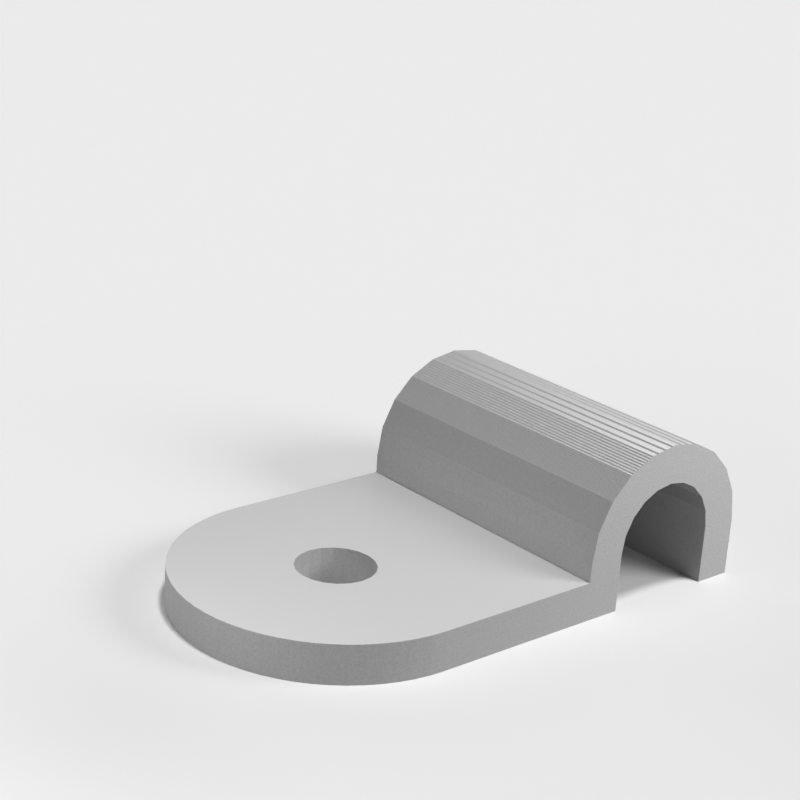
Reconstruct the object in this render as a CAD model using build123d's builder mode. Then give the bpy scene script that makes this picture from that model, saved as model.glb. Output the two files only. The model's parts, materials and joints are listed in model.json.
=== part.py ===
from build123d import *
from math import cos, pi, sin
import os

# Printed cable clip, all one piece: a tab with a screw hole runs into an arched saddle.
# The origin is on the screw axis, in the face that lies against the wall or the desk.
# The tab's round end points along -X, +Z is up, and the cable runs along Y.

# Driving dimensions, millimetres
clip_width = 16.0            # across the tab, and along the cable through the saddle
tab_thickness = 2.0
screw_hole_diameter = 4.0
screw_to_cable = 14.0        # from the screw axis to the middle of the channel
channel_width = 6.0          # clear width between the legs of the saddle
saddle_wall = 2.0
arch_centre_height = 3.0     # from the base up to the centre of both arches
arch_flats = 10              # flat faces that stand in for each half circle

# Sizes that follow from them
end_radius = clip_width / 2
channel_radius = channel_width / 2
saddle_radius = channel_radius + saddle_wall
tab_reach = screw_to_cable - channel_radius
flat_angle = pi / arch_flats


def arch_corners(radius):
    """Corners of a flat-sided arch on two straight legs, from the foot of one leg to the other's."""
    angles = [corner * flat_angle for corner in range(arch_flats + 1)]
    arch = [(radius * cos(angle), arch_centre_height + radius * sin(angle)) for angle in angles]
    return [(radius, 0), *arch, (-radius, 0)]


with BuildPart() as cable_clip:
    # Tab: half round about the screw, then straight on to the wall of the channel
    with BuildSketch() as tab_outline:
        Circle(end_radius)
        Rectangle(tab_reach, clip_width, align=(Align.MIN, Align.CENTER))
    extrude(amount=tab_thickness)

    # Saddle: the arch over the cable, as long as the tab is wide
    saddle_plane = Plane(origin=(screw_to_cable, 0, 0), x_dir=(1, 0, 0), z_dir=(0, -1, 0))
    with BuildSketch(saddle_plane) as saddle_section:
        with BuildLine():
            Polyline(*arch_corners(saddle_radius), close=True)
        make_face()
    extrude(amount=clip_width / 2, both=True)

    # Channel: the same arch again, one wall smaller, open at the base and at both ends
    with BuildSketch(saddle_plane) as channel_section:
        with BuildLine():
            Polyline(*arch_corners(channel_radius), close=True)
        make_face()
    extrude(amount=clip_width / 2, both=True, mode=Mode.SUBTRACT)

    # Plain hole for the screw, straight through the tab
    with Locations((0, 0, tab_thickness)):
        Hole(radius=screw_hole_diameter / 2)

cable_clip.part.label = "cable_clip"

os.makedirs("parts", exist_ok=True)
export_step(cable_clip.part, "parts/cable_clip.step")

print("faces", len(cable_clip.faces()))
print("volume", round(cable_clip.part.volume, 2), "mm3")
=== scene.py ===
import bpy
import json
from math import cos, pi, radians, sin
from mathutils import Matrix, Vector


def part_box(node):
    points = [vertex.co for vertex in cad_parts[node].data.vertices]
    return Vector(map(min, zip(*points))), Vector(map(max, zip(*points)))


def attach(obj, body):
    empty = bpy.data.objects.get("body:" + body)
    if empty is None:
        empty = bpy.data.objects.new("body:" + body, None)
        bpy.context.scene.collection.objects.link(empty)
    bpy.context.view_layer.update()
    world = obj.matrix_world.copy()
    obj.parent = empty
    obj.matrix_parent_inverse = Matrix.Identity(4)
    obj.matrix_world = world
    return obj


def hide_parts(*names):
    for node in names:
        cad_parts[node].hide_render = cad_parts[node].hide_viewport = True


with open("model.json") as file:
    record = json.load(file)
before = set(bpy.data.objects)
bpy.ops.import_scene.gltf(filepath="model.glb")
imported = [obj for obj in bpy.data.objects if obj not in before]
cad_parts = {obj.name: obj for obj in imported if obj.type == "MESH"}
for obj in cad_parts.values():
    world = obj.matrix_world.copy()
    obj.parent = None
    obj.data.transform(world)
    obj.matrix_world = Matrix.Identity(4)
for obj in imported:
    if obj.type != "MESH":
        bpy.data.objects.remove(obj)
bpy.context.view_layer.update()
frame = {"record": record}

MM = 0.001

# What the frame says, in metres: where the clip lies, its screw hole and its channel
mounts = {mount["name"]: mount for mount in frame["record"]["mounts"]}
clip_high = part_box("cable_clip")[1]
screw = Vector(mounts["screw_hole"]["pos_m"])
hole_radius = mounts["screw_hole"]["dims"]["r_mm"] * MM
tab_top = mounts["screw_seat"]["pos_m"][2]
channel_x, channel_y, arch_centre = mounts["cable_channel"]["pos_m"]
clip_top = clip_high.z
half_length = clip_high.y
saddle_radius = clip_high.x - channel_x
saddle_wall = 2.0 * MM          # the one size here that the frame doesn't give
channel_radius = saddle_radius - saddle_wall
tab_end = channel_x - saddle_radius

# How many flat sides each full circle has, and how near two points are that count as one
end_sides = 64
hole_sides = 20
arch_sides = 20
merge_distance = 0.0001 * MM

# The layers of the print. On the flats near the saddle's crown each one shows as a riser and a tread.
# The saddle's near end is at -Y, and its outer side faces away from the screw.
layer_count = 104
layer = clip_top / layer_count
tread_width = 0.40              # of a tread's line beside a riser's, on a slope of 45 degrees
layer_relief = 0.58             # how far the layers turn the skin, 1 for square steps
layer_fade = 0.35               # how much of that is lost by the far end
plain_slope = 0.60              # how level a flat is that just starts to show its layers
layered_slope = 0.93            # and one that shows them in full
level_limit = 0.01              # how far a face may lean and still count as level
tread_lean = 0.45               # how far the treads lean along the saddle at its far end
painted_tread_light = 0.22              # painted light: how much paler the treads are painted at the near end
outer_shift = 0.30              # how much lower the lines of the outer side lie, in layers
painted_outer_line_shade = 0.55              # and how dark they are at the near end, as painted shade along those lines
painted_wall_shade = 0.080            # painted shade on a wall, for light lost between its layers
painted_slope_shade = 2.1             # and painted shade on a slope, for light lost between its layers

# The plastic: its grey, how far that wanders, and its patterns, a shade for each layer, a fine grain
# and a broad cloud. Each of them runs from 0 to 1 about the middle.
plastic_grey = 0.66
plastic_spread = 0.06
plastic_roughness = 0.55
plastic_ior = 1.46
middle = 0.5
layer_shade = 0.12
grain_scale = 9 / MM
grain_detail = 3
grain_coarseness = 0.6
grain_shade = 2.4
grain_roughness = 0.12
grain_strength = 0.35
grain_depth = 0.005 * MM
top_grain = 0.02                # the grain's shade on a level face
cloud_scale = 0.35 / MM
cloud_detail = 2
cloud_coarseness = 0.5
cloud_shade = 0.12
cloud_roughness = 0.08

# The floor: a pale sheet, seen everywhere in one tone where no shadow falls
floor_tone = 0.831
floor_white = 1.30              # the most that its own colour makes up for weak light
floor_bounce = 0.36             # what it throws back up at the clip
floor_width = 3.0
floor_gap = 0.005 * MM

# The lamps, as degrees round from +X, degrees above the floor, and the strength each gives a sheet
# that faces it. A near lamp is a round softbox, with its distance from about the middle of the clip.
# A far lamp lights every place alike, and ends with how wide it looks, in degrees.
lamp_aim = Vector((5, 0, 0)) * MM
softbox_share = 0.5             # a softbox's width, as a share of its distance
near_lamps = {
    "key": (307, 35, 62 * MM, 0.438),
    "left_fill": (190, 28, 30 * MM, 0.176),
}
far_lamps = {
    "top": (284, 80, 0.507, 8),
    "back": (90, 12, 0.135, 25),
}

# The camera, as the photograph's: where it looks, from where, and how it is turned
camera_turn = radians(-41.2062)
camera_height = radians(20.0531)
camera_roll = radians(3.8548)
camera_distance = 88.151 * MM
camera_target = Vector((3.3265, 0, 9.7141)) * MM
camera_reach = 100              # how many times nearer and farther than the clip it still sees
sensor_width = 36
photo_width = 800
focal_pixels = 1877.80


# Modelling helpers

def deselect_all():
    """Leaves nothing selected, so that an operator acts on the new piece alone."""
    bpy.ops.object.select_all(action="DESELECT")


def pick(piece, kind, test):
    """Selects the vertices or faces of the piece that pass a test with every point, and no others."""
    bpy.ops.mesh.select_all(action="DESELECT")
    bpy.ops.mesh.select_mode(type=kind)
    bpy.ops.object.mode_set(mode="OBJECT")
    mesh = piece.data
    if kind == "VERT":
        for vertex in mesh.vertices:
            vertex.select = test(vertex.co)
    else:
        for face in mesh.polygons:
            face.select = all(test(mesh.vertices[index].co) for index in face.vertices)
    bpy.ops.object.mode_set(mode="EDIT")


def same(a, b):
    """Whether two places are the same, to a tenth of a micrometre."""
    return abs(a - b) < merge_distance


def extrude(*way):
    """Extrudes what is selected along the way given as X, Y and Z."""
    bpy.ops.mesh.extrude_region_move(TRANSFORM_OT_translate={"value": way})


def open_wall(piece):
    """Deletes the wall between the tab and the saddle, where the two run together."""
    pick(piece, "FACE", lambda point: same(point.x, tab_end) and point.z < tab_top + merge_distance)
    bpy.ops.mesh.delete(type="FACE")


# The saddle

def saddle():
    """Two flat-sided arches on straight legs, joined at the front and drawn out along the cable."""
    deselect_all()
    front = (channel_x, channel_y - half_length, arch_centre)
    bpy.ops.mesh.primitive_circle_add(
        vertices=arch_sides, radius=saddle_radius, location=front, rotation=(pi / 2, 0, 0),
    )
    piece = bpy.context.object
    piece.name = "saddle"
    bpy.ops.object.transform_apply(location=True, rotation=True, scale=False)
    bpy.ops.object.mode_set(mode="EDIT")
    bpy.ops.mesh.primitive_circle_add(
        vertices=arch_sides, radius=channel_radius, location=front, rotation=(pi / 2, 0, 0),
    )
    pick(piece, "VERT", lambda point: point.z < arch_centre - merge_distance)
    bpy.ops.mesh.delete(type="VERT")
    pick(piece, "VERT", lambda point: same(point.z, arch_centre))
    extrude(0, 0, tab_top - arch_centre)
    extrude(0, 0, -tab_top)
    bpy.ops.mesh.select_mode(type="EDGE")
    bpy.ops.mesh.select_all(action="SELECT")
    bpy.ops.mesh.bridge_edge_loops()
    bpy.ops.mesh.select_all(action="SELECT")
    extrude(0, 2 * half_length, 0)
    return piece


# The tab

def tab():
    """The tab: half round about the screw hole, then straight on to the saddle."""
    deselect_all()
    bpy.ops.mesh.primitive_circle_add(
        vertices=end_sides, radius=half_length, location=(screw.x, screw.y, 0),
    )
    piece = bpy.context.object
    piece.name = "tab"
    bpy.ops.object.transform_apply(location=True, rotation=False, scale=False)
    bpy.ops.object.mode_set(mode="EDIT")
    pick(piece, "VERT", lambda point: point.x > screw.x + merge_distance)
    bpy.ops.mesh.delete(type="VERT")
    pick(piece, "VERT", lambda point: same(point.x, screw.x))
    extrude(tab_end - screw.x, 0, 0)
    pick(piece, "VERT", lambda point: same(point.x, tab_end))
    bpy.ops.mesh.edge_face_add()
    bpy.ops.mesh.primitive_circle_add(
        vertices=hole_sides, radius=hole_radius, location=(screw.x, screw.y, 0),
    )
    bpy.ops.mesh.select_all(action="SELECT")
    bpy.ops.mesh.fill()
    bpy.ops.mesh.select_all(action="SELECT")
    extrude(0, 0, tab_top)
    return piece


# The whole clip

def printed_clip():
    """The clip: the saddle and the tab, opened to each other and closed into one skin."""
    pieces = []
    for make in (saddle, tab):
        pieces.append(make())
        open_wall(pieces[-1])
        bpy.ops.object.mode_set(mode="OBJECT")
    deselect_all()
    for piece in pieces:
        piece.select_set(True)
    whole = pieces[-1]
    bpy.context.view_layer.objects.active = whole
    bpy.ops.object.join()
    whole.name = "printed_clip"
    whole.data.name = "printed_clip"
    bpy.ops.object.mode_set(mode="EDIT")
    bpy.ops.mesh.select_all(action="SELECT")
    bpy.ops.mesh.remove_doubles(threshold=merge_distance)
    bpy.ops.mesh.normals_make_consistent(inside=False)
    bpy.ops.object.mode_set(mode="OBJECT")
    bpy.ops.object.shade_flat()
    return whole


clip = printed_clip()
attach(clip, "root")
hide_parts("cable_clip")


# Shader helpers

class Socket:
    """An output of a shader node, which can stand in plain sums and products."""

    def __init__(self, nodes, output):
        self.nodes = nodes
        self.output = output

    def __add__(self, other):
        return self.nodes.math("ADD", self, other)

    def __radd__(self, other):
        return self.nodes.math("ADD", other, self)

    def __sub__(self, other):
        return self.nodes.math("SUBTRACT", self, other)

    def __rsub__(self, other):
        return self.nodes.math("SUBTRACT", other, self)

    def __mul__(self, other):
        return self.nodes.math("MULTIPLY", self, other)

    def __rmul__(self, other):
        return self.nodes.math("MULTIPLY", other, self)

    def __truediv__(self, other):
        return self.nodes.math("DIVIDE", self, other)

    def __rtruediv__(self, other):
        return self.nodes.math("DIVIDE", other, self)


class Outputs:
    """The outputs of one node, by name or by number."""

    def __init__(self, nodes, node):
        self.nodes = nodes
        self.node = node

    def __getitem__(self, key):
        return Socket(self.nodes, self.node.outputs[key])


class Nodes:
    """The node tree of a material or of the world, filled one node at a time."""

    def __init__(self, owner):
        owner.use_nodes = True
        self.tree = owner.node_tree
        self.tree.nodes.clear()

    def add(self, kind, settings=None, sockets=None):
        """Adds a node: its settings first, then a value or a link for each socket named."""
        node = self.tree.nodes.new(kind)
        for name, value in (settings or {}).items():
            setattr(node, name, value)
        for name, value in (sockets or {}).items():
            if isinstance(value, Socket):
                self.tree.links.new(value.output, node.inputs[name])
            else:
                node.inputs[name].default_value = value
        return Outputs(self, node)

    def math(self, operation, *values):
        """Adds one sum of one or two values."""
        return self.add("ShaderNodeMath", {"operation": operation}, dict(enumerate(values)))["Value"]

    def split(self, vector):
        """Adds the three parts of a vector, as X, Y and Z."""
        return self.add("ShaderNodeSeparateXYZ", sockets={"Vector": vector})

    def blend(self, share, first, second):
        """Adds a blend of two colours, which this node has at sockets 6 and 7, and gives at 2."""
        return self.add("ShaderNodeMix", {"data_type": "RGBA"}, {"Factor": share, 6: first, 7: second})[2]

    def noise(self, place, scale, detail, coarseness):
        """Adds a soft pattern that keeps its place on the object."""
        return self.add("ShaderNodeTexNoise", sockets={
            "Vector": place, "Scale": scale, "Detail": detail, "Roughness": coarseness})["Fac"]


def grey(tone):
    """A neutral colour."""
    return (tone, tone, tone, 1)


# The plastic

class PrintedSkin:
    """How the print lies at each place: the way it faces, and where in its layers it is."""

    def __init__(self, nodes, place):
        self.nodes = nodes
        spot = nodes.split(place)
        self.facing = nodes.split(nodes.add("ShaderNodeNewGeometry")["True Normal"])
        out_x, out_y, up = (self.facing[axis] for axis in "XYZ")
        self.level = nodes.math("ABSOLUTE", up)
        self.upright = nodes.math("SQRT", out_x * out_x + out_y * out_y)
        self.sloped = nodes.math("GREATER_THAN", self.upright, level_limit)
        self.outer = nodes.math("GREATER_THAN", out_x, level_limit)
        self.along = (spot["Y"] + half_length) * (1 / (2 * half_length))
        self.layers_up = spot["Z"] * (1 / layer)
        in_layer = nodes.math("FRACT", self.layers_up + self.outer * outer_shift)
        from_riser = nodes.math("ABSOLUTE", in_layer - middle)
        riser_share = self.upright / (self.upright + tread_width * self.level)
        self.riser = nodes.math("LESS_THAN", from_riser, riser_share / 2)
        self.tread = 1 - self.riser

    def normal(self):
        """The way each riser and tread turns to the light, near the crown. The walls and the tab's
        top keep their own."""
        nodes, facing = self.nodes, self.facing
        shown = (self.level - plain_slope) * (1 / (layered_slope - plain_slope))
        shown = nodes.math("MAXIMUM", nodes.math("MINIMUM", shown, 1.0), 0.0)
        relief = (1 - layer_fade * self.along) * layer_relief * shown
        kept = 1 - relief
        out = kept + relief * self.riser / self.upright
        lean = tread_lean * self.along * self.level * self.tread * self.sloped
        turned = nodes.add("ShaderNodeCombineXYZ", sockets={
            "X": facing["X"] * out,
            "Y": facing["Y"] * out + lean,
            "Z": kept * facing["Z"] + relief * self.tread * nodes.math("SIGN", facing["Z"]),
        })["Vector"]
        return nodes.add("ShaderNodeVectorMath", {"operation": "NORMALIZE"}, {0: turned})["Vector"]

    def painted_light_and_shade(self):
        """Painted light and shade, as a factor on the print's own grey: painted shade where the layers
        shelter each other and along the outer side's lines, and painted light on the treads of the near
        end."""
        near = 1 - self.along
        # Painted shade on walls and slopes, for light lost between the layers
        slant = self.upright * self.upright * self.level
        shelter = painted_wall_shade * self.upright * self.upright + painted_slope_shade * slant * slant
        # Painted shade along the outer side's layer lines, darkest at the near end
        lines = painted_outer_line_shade * self.outer * self.riser * self.level * near
        # Painted light on the treads of the near end
        treads = self.tread * self.sloped * (1 - self.outer)
        painted_light_on_treads = painted_tread_light * treads * self.level * self.level * near
        return 1 - shelter - lines + painted_light_on_treads


def printed_plastic():
    """Light grey filament, matte, in fine layers, with a faint grain on the walls. Its colour also carries
    painted shade on walls, slopes and the outer side's lines, and painted light on the treads of the near
    end.
    """
    material = bpy.data.materials.new("printed_plastic")
    nodes = Nodes(material)
    place = nodes.add("ShaderNodeTexCoord")["Object"]
    skin = PrintedSkin(nodes, place)
    wall = 1 - skin.level
    shade = nodes.add("ShaderNodeTexWhiteNoise", {"noise_dimensions": "1D"}, {
        "W": nodes.math("FLOOR", skin.layers_up)})["Value"]
    grain = nodes.noise(place, grain_scale, grain_detail, grain_coarseness)
    cloud = nodes.noise(place, cloud_scale, cloud_detail, cloud_coarseness)
    share = middle + (shade - middle) * wall * layer_shade
    share = share + (grain - middle) * (skin.upright * grain_shade + top_grain)
    share = share + (cloud - middle) * cloud_shade
    colour = nodes.blend(share, grey(plastic_grey - plastic_spread), grey(plastic_grey + plastic_spread))
    # The plastic's colour, scaled by the painted light and shade
    colour_with_painted_light = nodes.add("ShaderNodeVectorMath", {"operation": "SCALE"}, {
        0: colour, "Scale": skin.painted_light_and_shade()})["Vector"]
    roughness = plastic_roughness + (grain - middle) * grain_roughness + (cloud - middle) * cloud_roughness
    bump = nodes.add("ShaderNodeBump", sockets={
        "Strength": grain_strength, "Distance": grain_depth, "Height": grain * wall,
        "Normal": skin.normal()})["Normal"]
    surface = nodes.add("ShaderNodeBsdfPrincipled", sockets={
        "Base Color": colour_with_painted_light, "Roughness": roughness, "Normal": bump, "IOR": plastic_ior})
    nodes.add("ShaderNodeOutputMaterial", sockets={"Surface": surface["BSDF"]})
    return material


clip.data.materials.clear()
clip.data.materials.append(printed_plastic())


# The floor

def looking(nodes):
    """1 for a ray that shows the studio, straight, mirrored or through glass, and 0 for one that lights."""
    rays = nodes.add("ShaderNodeLightPath")
    share = nodes.math("MAXIMUM", rays["Is Camera Ray"], rays["Is Glossy Ray"])
    return nodes.math("MAXIMUM", share, rays["Is Transmission Ray"])


def lamp_direction(turn, height):
    """The way from the clip to a lamp, from degrees round and degrees above the floor."""
    turn, height = radians(turn), radians(height)
    return Vector((cos(turn) * cos(height), sin(turn) * cos(height), sin(height)))


def open_floor_light(nodes):
    """How much light reaches each place on a floor with nothing on it."""
    place = nodes.split(nodes.add("ShaderNodeTexCoord")["Object"])
    light = sum(strength * sin(radians(height)) for _, height, strength, _ in far_lamps.values())
    for turn, height, distance, strength in near_lamps.values():
        toward = lamp_direction(turn, height)
        lamp = lamp_aim + toward * distance
        across = lamp.x - place["X"]
        along = lamp.y - place["Y"]
        square = across * across + along * along + lamp.z ** 2
        facing = across * toward.x + along * toward.y + lamp.z * toward.z
        facing = nodes.math("MAXIMUM", facing, 0.0)
        light = light + facing * (strength * distance ** 2 * lamp.z) / (square * square)
    return light


def paper_floor():
    """A plain pale sheet. The eye sees one tone wherever no shadow falls, near the lamps or not."""
    material = bpy.data.materials.new("paper_floor")
    nodes = Nodes(material)
    light = open_floor_light(nodes)
    tone = nodes.math("MINIMUM", floor_tone / light, floor_white)
    colour = nodes.add("ShaderNodeCombineColor", sockets={"Red": tone, "Green": tone, "Blue": tone})
    sheet = nodes.add("ShaderNodeBsdfDiffuse", sockets={"Color": colour["Color"]})
    glow = nodes.add("ShaderNodeEmission", sockets={"Strength": floor_tone - tone * light})
    seen = nodes.add("ShaderNodeAddShader", sockets={0: sheet["BSDF"], 1: glow["Emission"]})
    bounce = nodes.add("ShaderNodeBsdfDiffuse", sockets={"Color": grey(floor_bounce)})
    surface = nodes.add("ShaderNodeMixShader", sockets={
        0: looking(nodes), 1: bounce["BSDF"], 2: seen["Shader"]})
    nodes.add("ShaderNodeOutputMaterial", sockets={"Surface": surface["Shader"]})
    return material


deselect_all()
bpy.ops.mesh.primitive_plane_add(size=floor_width, location=(0, 0, -floor_gap))
floor = bpy.context.object
floor.name = "floor"
bpy.ops.object.transform_apply(location=True, rotation=False, scale=True)
floor.data.materials.append(paper_floor())


# The camera

def photo_camera():
    """The camera, placed by its turn round the clip, its height and its roll."""
    back = Vector((sin(camera_turn) * cos(camera_height),
                   -cos(camera_turn) * cos(camera_height),
                   sin(camera_height)))
    right = (-back).cross(Vector((0, 0, 1))).normalized()
    up = back.cross(right)
    rolled_right = right * cos(camera_roll) + up * sin(camera_roll)
    rolled_up = up * cos(camera_roll) - right * sin(camera_roll)
    bpy.ops.object.camera_add(location=camera_target + back * camera_distance)
    camera = bpy.context.object
    camera.rotation_euler = Matrix((rolled_right, rolled_up, back)).transposed().to_euler()
    camera.data.sensor_width = sensor_width
    camera.data.lens = sensor_width * focal_pixels / photo_width
    camera.data.clip_start = camera_distance / camera_reach
    camera.data.clip_end = camera_distance * camera_reach
    bpy.context.scene.camera = camera


photo_camera()


# The lamps

def near_lamp(name, turn, height, distance, strength):
    """A round softbox, which gives more light to what is nearer to it."""
    toward = lamp_direction(turn, height)
    bpy.ops.object.light_add(type="AREA", location=lamp_aim + toward * distance,
                             rotation=toward.to_track_quat("Z", "Y").to_euler())
    lamp = bpy.context.object
    lamp.name = name
    lamp.visible_camera = False
    lamp.data.shape = "DISK"
    lamp.data.size = softbox_share * distance
    lamp.data.energy = strength * (pi * distance) ** 2


def far_lamp(name, turn, height, strength, width):
    """A wide lamp a long way off, which lights every place alike."""
    toward = lamp_direction(turn, height)
    bpy.ops.object.light_add(type="SUN", rotation=toward.to_track_quat("Z", "Y").to_euler())
    lamp = bpy.context.object
    lamp.name = name
    lamp.data.angle = radians(width)
    lamp.data.energy = strength * pi


for name, place in near_lamps.items():
    near_lamp(name, *place)
for name, place in far_lamps.items():
    far_lamp(name, *place)


# The walls of the studio

def studio_walls():
    """Pale walls for the eye and for reflections. They give no other light."""
    world = bpy.data.worlds.new("studio")
    bpy.context.scene.world = world
    nodes = Nodes(world)
    background = nodes.add("ShaderNodeBackground", sockets={
        "Color": grey(1), "Strength": looking(nodes) * floor_tone})
    nodes.add("ShaderNodeOutputWorld", sockets={"Surface": background["Background"]})


studio_walls()

bpy.context.scene.view_settings.view_transform = "Standard"
